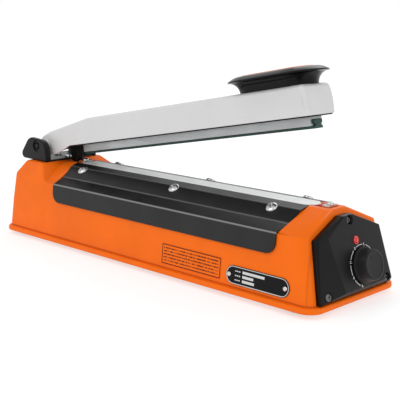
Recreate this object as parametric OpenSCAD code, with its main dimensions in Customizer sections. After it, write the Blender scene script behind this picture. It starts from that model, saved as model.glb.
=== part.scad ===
// Hand-operated impulse heat sealer, 200 mm class, standing on four rubber feet.
// +X runs along the sealing line towards the control panel, +Z is up, and the
// origin is the centre of the whole machine's box at the feet's underside.

/* [Base] */
// Length of the base flange
base_l = 300; // [296:1:306]
// Width of the base flange
base_w = 86; // [85:0.5:90]
// Height of the flange's underside above the table
flange_z = 3; // [2.5:0.1:3.5]
// Height of the rounded flange lip
flange_h = 3.5; // [3:0.1:4]
// Height of the housing's flat top
deck_z = 56; // [55:0.5:57]
// Height of the shoulder where the long walls meet the sloped facets
shoulder_z = 44.5; // [43.5:0.5:45.5]
// Wall thickness of the moulded housing
wall = 2.2; // [1.8:0.1:2.6]

/* [Sealing line] */
// Distance from the base's left end to the start of the sealing strip
seal_start = 53; // [53:1:56]
// Distance from the base's left end to the end of the sealing strip
seal_end = 271; // [268:1:271]
// Width of the sealing strip
seal_w = 14.4; // [13:0.2:15]
// Width of the resistance ribbon
ribbon_w = 3; // [2:0.5:5]

/* [Pressing arm] */
// Angle that the arm stands open at rest
arm_open = 10.2; // [8:0.1:14]
// Distance of the hinge pin from the base's left end
pivot_x = 20.5; // [19:0.5:22]
// Height of the hinge pin
pivot_z = 67.5; // [66.5:0.5:68.5]
// Length of the arm from the pin to its free end
arm_l = 255; // [252:1:258]
// Width of the arm at its open underside
arm_w = 32; // [31:0.5:33]
// Radius of the hinge pin
pin_r = 3; // [2.5:0.1:3.2]

/* [Controls] */
// Lean of the end panel from upright, in degrees
panel_lean = 13.2; // [12:0.2:14]
// Radius of the timer knob's skirt
knob_r = 11; // [10:0.5:12]
// Height of the timer knob
knob_h = 8; // [7:0.5:10]

/* [Hidden] */

// Radial running clearance of the hinge and the control shafts
run = 0.05;
// Overlap used to cut cleanly through a face
cut = 1;
// Depth of the screw heads' cross recess
recess = 0.9;

// Panel frame: its foot is just above the flange, panel_back in front of the end wall
panel_x = base_l - 1.8;
panel_z = flange_z + flange_h + 0.8;
panel_back = 1.6;
cover_t = 1.3;
raised_t = 3.8;
dial = [7.1, 15];
lamp = [3.4, 30.6];
dial_front = raised_t + 0.3;
// Overall length: from the flange's left end to the knob's front
overall_l = panel_x - dial[1] * sin(panel_lean)
          + (dial_front + knob_h) * cos(panel_lean) + (knob_r - 2.2) * sin(panel_lean);
x_left = -overall_l / 2;

// Housing outline: [height, left end, half width, corner radius] of each level
body_z0 = flange_z + flange_h;
foot_half_w = 40;
shoulder_y = 36.4;
ridge_y = 8.2;
wall_lean = atan((foot_half_w - shoulder_y) / (shoulder_z - body_z0));
waist = [27, 3.4, foot_half_w - (27 - body_z0) * tan(wall_lean), 6.5];
levels_main = [[body_z0, 2, foot_half_w, 6.5], waist, [shoulder_z, 6, shoulder_y, 6], [deck_z, 12, ridge_y, 4]];
// The pedestal's walls run on in the main walls' planes up to pedestal_z
pedestal_z = 47;
main_rise = (pedestal_z - waist[0]) / (shoulder_z - waist[0]);
function on_wall(i, top) = waist[i] + (top - waist[i]) * main_rise;
levels_pedestal = [[body_z0, 2, foot_half_w, 6.5], waist,
                   [pedestal_z, on_wall(1, 6), on_wall(2, shoulder_y), on_wall(3, 6)], [deck_z, 11, 28, 3.5]];
function right_end(z) = panel_x + (panel_z - z) * tan(panel_lean) - (panel_back + 0.05) / cos(panel_lean);
// Height between the deck and the ceiling of the cavity below it
deck_t = 4.5;

// Side plate: its outer profile across the machine, from the strip to the flap's foot
plate_t = 1;
plate_line = [[8.2, 56.1], [15, 54.9], [25.5, 48.2], [37.6, 45], [38.85, 32]];
screw_facet = atan((54.9 - 48.2) / (25.5 - 15));
plate_x0 = 49;
plate_x1 = 268.7;
flap_x0 = 58.5;
plate_screw_x = [68.4, 164.7, 248.9];
plate_screw_y = 17.6;
plate_screw_z = 53.25;

// Sealing stack, from the bar's top upwards
bar_bottom = 53;
bar_top = 55.6;
insulation_t = 0.3;
ribbon_t = 0.2;
ptfe_t = 0.25;
seal_top = bar_top + insulation_t + ribbon_t + ptfe_t;

// Arm section and its fittings, in the arm's own frame with the pin at its origin
sheet = 1.2;
arm_bottom = -2.85;
arm_top = 15.5;
arm_top_w = 26.6;
// The rubber's face closes to just above the sealing strip
rubber_face = seal_top + 0.45 - pivot_z;
bar_x0 = 33.6;
bar_x1 = 249;
bar_w = 11;
rubber_x1 = 250.6;
handle_x = 223.8;
hinge_r = 7;

// Feet and the posts that they screw into
foot_x = [17, base_l - 19];
foot_y = 30;
foot_r = 7;

// Switch under the deck's slot, between two ribs
slot_x0 = 32;
slot_x1 = 47;
switch_z = 45;
switch_rib_y = 5.2;
switch_screw_x = [34, 48];
leg_tip = switch_z + 0.4 - pivot_z;

// Posts and jaws that hold the ribbon's ends
clamp_x = [seal_start - 3.2, seal_end + 7.5];
jaw = [4.8, 9, 1.6];

// Hinge: screws of the bracket, its ears and their caps, and the opening spring's coils
bracket_screw_x = [14.2, 28];
ear_y = arm_w / 2 + 3;
ear_t = 2.4;
cap_t = 3;
spring_r = 4.6;
wire_r = 0.7;

// Side outline of the arm: low at the hinge, full height over the strip, raked at the free end
arm_rake = 3;
arm_side = [[-6, 0], [-2, 7.4], [4, 9.6], [50, arm_top], [arm_l - arm_rake, arm_top], [arm_l, arm_bottom],
            [30, arm_bottom], [20, -6], [12, -8], [0, -8]];
bar_stud_x = [70, 150, 224];
liner_t = 0.9;
rubber_w = 8;
bar_top_z = 4;

// Handle: half length of its straight part, round ends' radius at the neck and the rim, and heights
handle_straight = 15.5;
neck_r = 12;
rim_r = 19;
flare_h = 7;
handle_h = 11;
inlay_r = rim_r - 8.2;
handle_screw_x = [-16, 16];

// End panel: its outline, the raised face beside its slanted facet, and the pocket behind
cover_outline = [[-34.8, 0], [34.8, 0], [30.2, 36.2], [5, 46.7], [-5, 46.7], [-30.2, 36.2]];
raised_outline = [[-33.6, 2.4], [33.6, 2.4], [29.2, 35.6], [4.6, 45.7], [-4.6, 45.7], [-29.2, 35.6]];
// Slanted facets of the end cover: a point on the crease, the crease's lean and the facet's fall
side_facet = [-13, 2.4, 14.7, -6.6];
upper_facet = [-21.6, 35.2, 119.7, 10.4];
pocket_outline = [[-32.5, 2], [32.5, 2], [28.2, 34.8], [4, 44.6], [-4, 44.6], [-28.2, 34.8]];
cover_screw_yz = [[1, 43], [-27.5, 3.4], [29, 3.4]];

// Timer control: depths behind the panel of its body, of its shaft and of the wall's inner face
shaft_r = 3;
control_depth = 15.8;
shaft_depth = 8.5;
wall_back = 5.3;

// Cord entry, and the name plate on the front wall
gland_y = 16;
gland_z = 22;
badge_z = 14.3;
badge_x = 256.8;
badge_l = 48.6;
badge_h = 11.4;
rivet_x = [badge_x - badge_l / 2 + 2.8, badge_x + badge_l / 2 - 2.8];

// Floor that the electrics stand on
floor_z = flange_z + 1.45;

$fn = 48;

// Places children from the base's left end
module at_base() translate([x_left, 0, 0]) children();
// Places children in the arm's frame: +X along the arm, origin on the hinge pin
module at_arm() at_base() translate([pivot_x, 0, pivot_z]) rotate([0, -arm_open, 0]) children();
// Places children on the end panel: +X out of the panel, +Z up along it
module at_panel() at_base() translate([panel_x, 0, panel_z]) rotate([0, -panel_lean, 0]) children();
// Places children on the front wall at station x and height z: +Z out of the wall
module on_front_wall(x, z)
  translate([x, -(foot_half_w - (z - body_z0) * tan(wall_lean)), z]) rotate([90 - wall_lean, 0, 0]) children();
// Repeats children on the front and the rear side
module both_sides() {
  children();
  mirror([0, 1, 0]) children();
}

module rounded_slab(x0, x1, half_w, r, h) linear_extrude(h) {
  translate([x0 + r, -half_w]) square([x1 - x0 - 2 * r, 2 * half_w]);
  translate([x0, -half_w + r]) square([x1 - x0, 2 * (half_w - r)]);
  for (x = [x0 + r, x1 - r], y = [-half_w + r, half_w - r]) translate([x, y]) circle(r, $fn = 32);
}

// One level of the housing, drawn in by inset on every side
module level(spec, inset, h)
  translate([0, 0, spec[0]])
    rounded_slab(spec[1] + inset, right_end(spec[0]) - inset, spec[2] - inset, spec[3] - inset / 2, h);

module levels_hull(levels, inset, drop)
  hull() for (i = [0 : len(levels) - 1])
    translate([0, 0, i == 0 ? 0 : -drop]) level(levels[i], inset, 0.02);

// Pedestal under the hinge, cut back along a slope on its right
module pedestal_zone(inset)
  rotate([90, 0, 0]) linear_extrude(base_w, center = true)
    polygon([[0, 0], [0, 60], [33 - inset, 60], [33 - inset, deck_z - inset],
             [48 - inset, shoulder_z - inset], [48 - inset, 0]]);

module housing_outer() {
  levels_hull(levels_main, 0, 0);
  intersection() {
    levels_hull(levels_pedestal, 0, 0);
    pedestal_zone(0);
  }
  translate([0, 0, flange_z]) rounded_slab(0, base_l, base_w / 2, 10, flange_h);
}

module housing_inner() {
  levels_hull(levels_main, wall, deck_t);
  translate([0, 0, flange_z - cut])
    rounded_slab(4.5, base_l - 4.5, 37.8, 7, flange_h + cut + 0.1);
}

// Space above the side plate's underside, over the plate's own length
module plate_recess() intersection() {
  translate([plate_x0 - 1, 0, 0]) rotate([90, 0, 90]) linear_extrude(plate_x1 - plate_x0 + 2)
    let (inner = offset_line(plate_line, plate_t + 0.03), bend = inner[3])
      polygon(concat([for (i = [0 : 3]) [-inner[i][0], inner[i][1]]],
                     [[-45, bend[1]], [-45, 60], [-ridge_y, 60]]));
  translate([0, 0, 40]) linear_extrude(30) plate_plan(0.2);
}
// Plan of a side plate's sloped part: its left edge runs askew
module plate_plan(grow)
  polygon([[plate_x0 - grow, -7], [flap_x0 - grow, -36.6], [flap_x0 - grow, -45],
           [plate_x1 + grow, -45], [plate_x1 + grow, -7]]);

// Moves each point of an open line inwards by t, mitred at the bends
function unit(v) = v / norm(v);
function across(a, b) = let (d = unit(b - a)) [-abs(d[1]), -abs(d[0])];
function offset_line(line, t) = [for (i = [0 : len(line) - 1])
  let (n0 = across(line[max(i - 1, 0)], line[max(i, 1)]),
       n1 = across(line[min(i, len(line) - 2)], line[min(i + 1, len(line) - 1)]),
       m = unit(n0 + n1))
  line[i] + m * t / (m * n0)];

module housing() at_base() color("darkorange") difference() {
  union() {
    difference() {
      housing_outer();
      housing_inner();
    }
    // Posts for the feet's screws, from the bottom plate up into the shoulders
    for (x = foot_x, y = [-foot_y, foot_y]) translate([x, y, flange_z + 1.6]) cylinder(r = 4.2, h = 38.5);
    // Ribs that hold the switch
    for (y = [-switch_rib_y - 2, switch_rib_y]) translate([29, y, 26]) cube([24, 2, deck_z - 28]);
  }
  both_sides() plate_recess();
  // Channel for the sealing bar, and the ribbon's way out at both of its ends
  translate([seal_start - 0.1, -seal_w / 2 - 0.1, bar_bottom - 0.05])
    cube([seal_end - seal_start - seal_w / 2 + 0.1, seal_w + 0.2, 12]);
  translate([seal_end - seal_w / 2, 0, bar_bottom - 0.05]) cylinder(r = seal_w / 2 + 0.1, h = 12);
  translate([clamp_x[0] - 2.6, -5, bar_top]) cube([clamp_x[1] - clamp_x[0] + 5.6, 10, 10]);
  // Slot for the switch leg
  translate([slot_x0, -4.5, 44]) cube([slot_x1 - slot_x0, 9, 20]);
  // Holes for the clamp posts, bracket screws, foot screws and plate screws
  for (x = clamp_x) translate([x, 0, 40]) cylinder(r = 2.1, h = 20);
  for (x = bracket_screw_x) translate([x, 0, 44]) cylinder(r = 1.3, h = 20);
  for (x = foot_x, y = [-foot_y, foot_y]) translate([x, y, flange_z]) cylinder(r = 1.5, h = 16);
  for (x = switch_screw_x) translate([x, -20, 30]) rotate([-90, 0, 0]) cylinder(r = 1.4, h = 40);
  both_sides() for (x = plate_screw_x) at_plate_screw(x) translate([0, 0, -12]) cylinder(r = 1.55, h = 20);
  // Holes behind the end panel
  translate([panel_x, 0, panel_z]) rotate([0, -panel_lean, 0]) {
    translate([-12, dial[0], dial[1]]) rotate([0, 90, 0]) cylinder(r = 4.8, h = 20);
    translate([-12, lamp[0], lamp[1]]) rotate([0, 90, 0]) cylinder(r = 4.5, h = 20);
    for (p = cover_screw_yz) translate([-12, p[0], p[1]]) rotate([0, 90, 0]) cylinder(r = 1.3, h = 20);
  }
  // Cord entry, name plate rivets
  translate([-cut, gland_y, gland_z]) rotate([0, 90, 0]) cylinder(r = 4.6, h = 12);
  for (x = rivet_x) on_front_wall(x, badge_z) translate([0, 0, -6]) cylinder(r = 1.05, h = 8);
}

module at_plate_screw(x)
  translate([x, -plate_screw_y, plate_screw_z]) rotate([screw_facet, 0, 0]) children();

module bottom_plate() at_base() color("gray") difference() {
  translate([0, 0, flange_z + 0.2]) rounded_slab(5, base_l - 5, 37.3, 6.5, 1.2);
  for (x = foot_x, y = [-foot_y, foot_y]) translate([x, y, 0]) cylinder(r = 1.7, h = 8);
  // Two groups of cooling slots
  for (x = [90 : 8 : 210]) translate([x, -12, 0]) cube([3, 24, 8]);
}

module rubber_feet() at_base() color("black")
  for (x = foot_x, y = [-foot_y, foot_y]) translate([x, y, 0]) difference() {
    cylinder(r1 = foot_r - 0.8, r2 = foot_r, h = flange_z + 0.2);
    translate([0, 0, -cut]) cylinder(r = 1.7, h = 6);
    translate([0, 0, -cut]) cylinder(r = 3.6, h = 1.8 + cut);
  }

module foot_screws() at_base() color("silver")
  for (x = foot_x, y = [-foot_y, foot_y]) translate([x, y, 0.6]) {
    cylinder(r = 3.2, h = 1.2);
    cylinder(r = 1.45, h = 14);
  }

// Pressed plate over one sloped side, with its flap down the wall
module side_plate() difference() {
  intersection() {
    translate([plate_x0, 0, 0]) rotate([90, 0, 90]) linear_extrude(plate_x1 - plate_x0)
      let (inner = offset_line(plate_line, plate_t), n = len(inner))
        polygon(concat([for (p = plate_line) [-p[0], p[1]]],
                       [for (i = [n - 1 : -1 : 0]) [-inner[i][0], inner[i][1]]]));
    union() {
      translate([0, 0, 40]) linear_extrude(30) plate_plan(0);
      // Outline of the flap: its lower corners are round
      translate([0, -30, 0]) rotate([90, 0, 0]) linear_extrude(20) hull() {
        for (x = [flap_x0 + 7, plate_x1 - 7]) translate([x, 39]) circle(7);
        translate([flap_x0, 44]) square([plate_x1 - flap_x0, 1.5]);
      }
    }
  }
  for (x = plate_screw_x) at_plate_screw(x) translate([0, 0, -12]) cylinder(r = 1.7, h = 20);
}

module front_side_plate() at_base() color("dimgray") side_plate();
module rear_side_plate() at_base() color("dimgray") mirror([0, 1, 0]) side_plate();

// Pan head screw standing on z = 0, with a cross recess
module pan_screw(head_r, head_h, shank_r, shank_l) {
  difference() {
    cylinder(r1 = head_r, r2 = head_r * 0.62, h = head_h);
    for (a = [0, 90]) rotate([0, 0, a + 20]) translate([-head_r * 0.55, -0.35, head_h - recess])
      cube([head_r * 1.1, 0.7, 2]);
  }
  translate([0, 0, -shank_l]) cylinder(r = shank_r, h = shank_l + 0.1);
}

module plate_screw_row() for (x = plate_screw_x) at_plate_screw(x) pan_screw(3.8, 2, 1.5, 7);
module front_plate_screws() at_base() color("silver") plate_screw_row();
module rear_plate_screws() at_base() color("silver") mirror([0, 1, 0]) plate_screw_row();

// Strip lying along the sealing line, round at its right end
module seal_layer(z, h, w, x0, x1) translate([0, 0, z]) {
  translate([x0, -w / 2, 0]) cube([x1 - w / 2 - x0, w, h]);
  translate([x1 - w / 2, 0, 0]) cylinder(r = w / 2, h = h);
}

module sealing_bar() at_base() color("silver")
  seal_layer(bar_bottom, bar_top - bar_bottom, seal_w, seal_start, seal_end);
module insulation_strip() at_base() color("white")
  seal_layer(bar_top, insulation_t, seal_w - 2, seal_start + 1, seal_end - 1);
module heating_ribbon() at_base() color("peru") {
  translate([clamp_x[0] + 1.2, -ribbon_w / 2, bar_top + insulation_t])
    cube([clamp_x[1] - clamp_x[0] - 2.4, ribbon_w, ribbon_t]);
}
module ptfe_cover() at_base() color("whitesmoke")
  seal_layer(seal_top - ptfe_t, ptfe_t, seal_w - 0.4, seal_start + 0.2, seal_end - 0.2);

// Posts that hold the ribbon's ends, each with a jaw on top
module ribbon_slot(x0, l)
  translate([x0, -ribbon_w / 2 - 0.1, bar_top + insulation_t - 0.05]) cube([l, ribbon_w + 0.2, ribbon_t + 0.1]);
module ribbon_clamps() at_base() color("silver") for (x = clamp_x) difference() {
  union() {
    translate([x, 0, 43]) cylinder(r = 2, h = bar_top - 42.9);
    translate([x - jaw[0] / 2, -jaw[1] / 2, bar_top + 0.05]) cube(jaw);
  }
  translate([x, 0, 46]) cylinder(r = 1.1, h = 20);
  ribbon_slot(x - 4, 8);
}
module clamp_screws() at_base() color("silver")
  for (x = clamp_x) translate([x, 0, bar_top + 0.1 + jaw[2]]) pan_screw(2.3, 1.5, 1.05, 1.2);
// Heat-proof sleeve round the ribbon, between the strip's end and the jaw
module clamp_sleeves() at_base() color("firebrick") difference() {
  translate([seal_end + 0.1, -3, bar_top + 0.05]) cube([clamp_x[1] - jaw[0] / 2 - seal_end - 0.2, 6, 0.7]);
  ribbon_slot(seal_end - cut, 20);
}

// U-shaped bracket: a foot on the pedestal and two ears for the pin
module ear_outline() hull() {
  translate([14.5, 65.2]) circle(8.2);
  translate([23.4, 64.5]) circle(8.3);
  translate([4.6, deck_z + 4.2]) circle(3.6);
  translate([29.3, deck_z + 0.1]) square([3, 3]);
}
module hinge_bracket() at_base() color("dimgray") difference() {
  union() {
    for (y = [-ear_y - ear_t, ear_y]) translate([0, y + ear_t, 0]) rotate([90, 0, 0])
      linear_extrude(ear_t) offset(delta = -0.8) ear_outline();
    translate([3, -ear_y - 0.5, deck_z + 0.05]) cube([29, 2 * ear_y + 1, 1.5]);
  }
  translate([pivot_x, 0, pivot_z]) rotate([90, 0, 0]) cylinder(r = pin_r + 0.02, h = 80, center = true);
  for (x = bracket_screw_x) translate([x, 0, 50]) cylinder(r = 1.7, h = 20);
}
module bracket_screws() at_base() color("silver")
  for (x = bracket_screw_x) translate([x, 0, deck_z + 1.55]) {
    cylinder(r = 2.8, h = 1);
    translate([0, 0, -8]) cylinder(r = 1.25, h = 8.1);
  }

// Moulded cap over one ear, with the pin's sunken eye
module hinge_cap() translate([0, -ear_y - ear_t - cap_t, 0]) difference() {
  translate([0, cap_t, 0]) rotate([90, 0, 0]) linear_extrude(cap_t) ear_outline();
  translate([pivot_x, 0, pivot_z]) rotate([90, 0, 0]) cylinder(r = pin_r + 1.2, h = 10, center = true);
}
module hinge_cap_front() at_base() color("black") hinge_cap();
module hinge_cap_rear() at_base() color("black") mirror([0, 1, 0]) hinge_cap();

module hinge_pin() at_base() color("silver") translate([pivot_x, 0, pivot_z]) rotate([90, 0, 0])
  difference() {
    cylinder(r = pin_r, h = 2 * (ear_y + ear_t + 2), center = true);
    both_ends(ear_y + ear_t + 0.5) ring(pin_r + 1, pin_r - 0.6, 0.8);
  }
module both_ends(z) {
  translate([0, 0, z]) children();
  mirror([0, 0, 1]) translate([0, 0, z]) children();
}
module ring(outer_r, inner_r, h) difference() {
  cylinder(r = outer_r, h = h);
  translate([0, 0, -cut]) cylinder(r = inner_r, h = h + 2 * cut);
}
module pin_clips() at_base() color("silver") translate([pivot_x, 0, pivot_z]) rotate([90, 0, 0])
  both_ends(ear_y + ear_t + 0.5) difference() {
    ring(pin_r + 0.8, pin_r - 0.6, 0.8);
    translate([0, -0.8, -cut]) cube([6, 1.6, 4]);
  }

// Opening spring: closed coils round the pin's sleeve, one leg on the bracket's foot
module return_spring() at_base() color("silver") translate([pivot_x, 0, pivot_z]) {
  rotate([90, 0, 0]) for (i = [-4 : 4]) translate([0, 0, i * 2 * wire_r]) rotate_extrude()
    translate([spring_r, 0]) circle(wire_r, $fn = 20);
  translate([0, 4 * 2 * wire_r, -spring_r]) rotate([0, -108, 0]) cylinder(r = wire_r, h = 13, $fn = 20);
}

// Arm: a folded channel, open below, low at the hinge and full height over the strip
module arm_profile(inset)
  rotate([90, 0, 0]) linear_extrude(60, center = true) {
    if (inset == 0) polygon(arm_side);
    else polygon([[-9, -10], [-9, 4], [-2, 7.4 - inset], [4, 9.6 - inset], [50, arm_top - inset],
                  [arm_l - arm_rake - inset, arm_top - inset], [arm_l - inset, arm_bottom], [arm_l - inset, -10]]);
  }
// Section of the arm drawn in by inset: upright near the pin, narrower at the top
module arm_section(inset, x0, x1)
  translate([x0, 0, 0]) rotate([90, 0, 90]) linear_extrude(x1 - x0)
    let (b = arm_w / 2 - inset, t = arm_top_w / 2 - inset)
      polygon([[-b, -12], [-b, arm_bottom], [-t, arm_top + 1], [t, arm_top + 1], [b, arm_bottom], [b, -12]]);
module arm_plan(inset)
  translate([0, 0, -20]) rounded_slab(-12 + inset, arm_l - inset, arm_w / 2 - inset, 8 - inset, 60);

module arm_channel() at_arm() color("lightgray") difference() {
  intersection() {
    union() {
      arm_profile(0);
      rotate([90, 0, 0]) cylinder(r = hinge_r, h = 60, center = true);
    }
    arm_section(0, -20, arm_l);
    arm_plan(0);
  }
  intersection() {
    arm_profile(sheet);
    arm_section(sheet, -20, arm_l);
    arm_plan(sheet);
  }
  rotate([90, 0, 0]) cylinder(r = pin_r + 1.52, h = 80, center = true);
  for (x = concat(bar_stud_x, [for (x = handle_screw_x) handle_x + x])) translate([x, 0, 0]) cylinder(r = 1.6, h = 40);
}

// Black liner whose edge shows below the arm's rim
module arm_inside(inset) intersection() {
  arm_profile(inset);
  arm_section(inset, 0, arm_l);
  arm_plan(inset);
}
module arm_liner() at_arm() color("black") difference() {
  intersection() {
    arm_inside(sheet + 0.05);
    translate([26, -20, arm_bottom - 0.8]) cube([arm_l, 40, 7]);
  }
  arm_inside(sheet + 0.05 + liner_t);
  translate([20, -13.5, -20]) cube([arm_l - 30, 27, 60]);
}

// Bushes pressed into the arm's ears
module hinge_bushes() at_arm() color("peru") rotate([90, 0, 0]) both_ends(8.5)
  ring(pin_r + 1.5, pin_r + run, arm_w / 2 - 8.5 + 1.2);

// Saddles between the arm's top and the pressing bar, each held by a flush stud
module bar_brackets() at_arm() color("gray") for (x = bar_stud_x) translate([x, 0, 0]) difference() {
  translate([-6, -9, bar_top_z]) cube([12, 18, arm_top - sheet - bar_top_z]);
  cylinder(r = 1.6, h = 40);
}
module bar_studs() at_arm() color("silver")
  for (x = bar_stud_x) translate([x, 0, -1.9]) cylinder(r = 1.5, h = arm_top + 1.9);

// Extruded bar with a slot below for the rubber's keyed root
module bar_profile() difference() {
  square_at(bar_w, rubber_face + 1.7, bar_top_z);
  square_at(5, rubber_face + 0.6, rubber_face + 3.2);
  square_at(8, rubber_face + 3.1, rubber_face + 5.6);
}
module square_at(w, z0, z1) translate([-w / 2, z0]) square([w, z1 - z0]);
module along_arm(x0, x1) translate([x0, 0, 0]) rotate([90, 0, 90]) linear_extrude(x1 - x0) children();
module pressing_bar() at_arm() color("silver") difference() {
  along_arm(bar_x0, bar_x1) bar_profile();
  for (x = bar_stud_x) translate([x, 0, -2]) cylinder(r = 1.55, h = 20);
}
module rubber_strip() at_arm() color("darkslategray") {
  along_arm(bar_x0 - 1, rubber_x1) {
    square_at(rubber_w, rubber_face, rubber_face + 1.6);
    square_at(4.8, rubber_face + 1.5, rubber_face + 3.3);
    square_at(7.8, rubber_face + 3.2, rubber_face + 5.5);
  }
}

// Leg that reaches through the deck's slot onto the switch
module switch_leg() at_arm() color("black") {
  rotate([90, 0, 0]) linear_extrude(6, center = true)
    polygon([[11.5, 0], [25, 0], [25, -3.5], [20.5, -11], [18.5, leg_tip], [15, leg_tip], [13.2, -7]]);
  translate([11.5, -arm_w / 2 + sheet + 0.6, -2.6]) cube([13.5, arm_w - 2 * sheet - 1.2, 2.6]);
}

// Handle: an oblong neck that flares to a thin rim, on the arm's top.
// Sweeps a profile of [radius, height] points round an oblong
module oblong_sweep(profile) {
  for (side = [0, 180]) rotate([0, 0, side])
    translate([handle_straight, 0, 0]) rotate([0, 0, -90]) rotate_extrude(angle = 180) polygon(profile);
  rotate([90, 0, 90]) linear_extrude(2 * handle_straight, center = true)
    polygon(concat(profile, [for (i = [len(profile) - 2 : -1 : 1]) [-profile[i][0], profile[i][1]]]));
}
function quarter(i, n) = let (a = 90 * i / n) [1 - cos(a), sin(a)];
module handle() at_arm() color("black") translate([handle_x, 0, arm_top]) difference() {
  oblong_sweep(concat(
    [[0, 0]],
    [for (i = [0 : 6]) let (q = quarter(i, 6)) [neck_r + (rim_r - neck_r) * q[0], flare_h * q[1]]],
    [[rim_r, flare_h + 0.7], [rim_r - 3, handle_h - 1.6], [inlay_r + 0.4, handle_h - 0.5], [0, handle_h - 0.5]]));
  translate([0, 0, handle_h - 2]) oblong_sweep([[0, 0], [inlay_r, 0], [inlay_r, 4], [0, 4]]);
  for (x = handle_screw_x) translate([x, 0, -cut]) cylinder(r = 1.3, h = 7);
}
module handle_inlay() at_arm() color("darkorange") translate([handle_x, 0, arm_top + handle_h - 1.95])
  oblong_sweep([[0, 0], [inlay_r - 0.1, 0], [inlay_r - 0.1, 1.3], [inlay_r - 4, 1.95], [0, 1.95]]);
module handle_screws() at_arm() color("silver") for (x = handle_screw_x)
  translate([handle_x + x, 0, arm_top - sheet - 1.4]) {
    cylinder(r = 2.8, h = 1.4);
    cylinder(r = 1.25, h = 7);
  }

// End panel: a shell with a slanted facet beside its raised face
module panel_slab(outline, x0, x1)
  translate([x0, 0, 0]) rotate([90, 0, 90]) linear_extrude(x1 - x0) polygon(outline);
module facet_cut(facet, reach) translate([raised_t, facet[0], facet[1]]) rotate([facet[2], 0, 0])
  rotate([0, 0, facet[3]]) translate([0, min(0, reach), -60]) cube([10, abs(reach), 120]);
module end_cover() at_panel() color("black") difference() {
  hull() {
    panel_slab(cover_outline, -panel_back, cover_t);
    panel_slab(raised_outline, -panel_back, raised_t);
  }
  facet_cut(side_facet, -50);
  facet_cut(upper_facet, 50);
  panel_slab(pocket_outline, -panel_back - cut, -0.1);
  translate([-cut, dial[0], dial[1]]) rotate([0, 90, 0]) cylinder(r = 4.7, h = 8);
  translate([-cut, lamp[0], lamp[1]]) rotate([0, 90, 0]) cylinder(r = 2.6, h = 8);
  for (p = cover_screw_yz) translate([0, p[0], p[1]]) rotate([0, 90, 0]) {
    translate([0, 0, -cut]) cylinder(r = 1.6, h = 8);
    translate([0, 0, cover_t]) cylinder(r = 2.9, h = 8);
  }
}
module cover_screws() at_panel() color("silver") for (p = cover_screw_yz)
  translate([cover_t, p[0], p[1]]) rotate([0, 90, 0]) pan_screw(2.5, 1.5, 1.25, 5);
module lamp_lens() at_panel() color("red") translate([0, lamp[0], lamp[1]]) rotate([0, 90, 0]) {
  cylinder(r = 2.55, h = raised_t + 0.2);
  translate([0, 0, raised_t + 0.1]) intersection() {
    cylinder(r = 2.55, h = 2);
    translate([0, 0, -2.2]) sphere(r = 3.2);
  }
}
module lamp_body() at_panel() color("gray") translate([0, lamp[0], lamp[1]]) rotate([0, 90, 0]) {
  translate([0, 0, -12]) cylinder(r = 3.6, h = 11.8);
  for (y = [-1.5, 1.5]) translate([0, y, -17]) cylinder(r = 0.4, h = 6, $fn = 16);
}

// Timer control: a body behind the wall, a threaded collar and a turning shaft
module at_dial() at_panel() translate([0, dial[0], dial[1]]) rotate([0, 90, 0]) children();
module timer_control() at_dial() color("slategray") difference() {
  union() {
    translate([0, 0, -control_depth]) cylinder(r = 8.5, h = control_depth - wall_back);
    translate([0, 0, -wall_back - 0.2]) cylinder(r = 4.6, h = wall_back + 3.2);
  }
  translate([0, 0, -shaft_depth - 0.5]) cylinder(r = shaft_r + run, h = 30);
}
module control_nut() at_dial() color("silver") translate([0, 0, -panel_back + 0.05]) ring(6.5, 4.62, 1.4);
module knob_shaft() at_dial() color("silver") translate([0, 0, -shaft_depth]) cylinder(r = shaft_r, h = shaft_depth + 6);
module timer_knob() at_dial() color("black") translate([0, 0, dial_front]) difference() {
  union() {
    cylinder(r = knob_r, h = 1.6);
    translate([0, 0, 1.5]) cylinder(r1 = knob_r - 0.7, r2 = knob_r - 2.2, h = knob_h - 1.5);
  }
  translate([0, 0, -cut]) cylinder(r = shaft_r + 0.02, h = knob_h - 5.2 + cut);
  // Pointer groove on the knob's face and skirt
  rotate([0, 0, 205]) translate([4, -0.5, knob_h - 0.5]) cube([8, 1, 1]);
}

// Electrics on the bottom plate
module board_posts() at_base() color("gray")
  for (x = [222, 262], y = [-20, 20]) translate([x, y, floor_z]) cylinder(r = 2.5, h = 6);
module timer_board() at_base() color("darkgreen") translate([216, -25, floor_z + 6]) {
  cube([52, 50, 1.6]);
  for (p = [[8, 10], [8, 22], [22, 38]]) translate([p[0], p[1], 1.6]) cylinder(r = 4, h = 11);
  translate([28, 8, 1.6]) cube([15, 12, 12]);
  translate([28, 30, 1.6]) cube([16, 8, 5]);
}
module transformer_core() at_base() color("dimgray") translate([130, -24, floor_z]) difference() {
  cube([44, 48, 34]);
  translate([10, -cut, 8]) cube([24, 60, 18]);
  for (x = [3, 41], y = [5, 43]) translate([x, y, -cut]) cylinder(r = 1.2, h = 12);
}
module transformer_coil() at_base() color("chocolate") translate([140.4, -28, floor_z + 8.4])
  cube([23.2, 56, 17.2]);
module transformer_screws() at_base() color("silver") for (x = [133, 171], y = [-19, 19])
  translate([x, y, floor_z]) cylinder(r = 1.15, h = 8);
module micro_switch() at_base() color("black") translate([30, -5, 25]) difference() {
  cube([22, 10, switch_z - 3 - 25]);
  translate([10, 5, 10]) cylinder(r = 1.5 + run, h = 20);
  for (x = switch_screw_x) translate([x - 30, -cut, 5]) rotate([-90, 0, 0]) cylinder(r = 1.4, h = 20);
}
module switch_button() at_base() color("firebrick") translate([40, 0, switch_z - 6]) cylinder(r = 1.5, h = 6);
module switch_screws() at_base() color("silver") for (x = switch_screw_x) translate([x, -9.5, 30])
  rotate([-90, 0, 0]) {
    cylinder(r = 1.35, h = 17);
    cylinder(r = 2.6, h = 2);
  }

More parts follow.
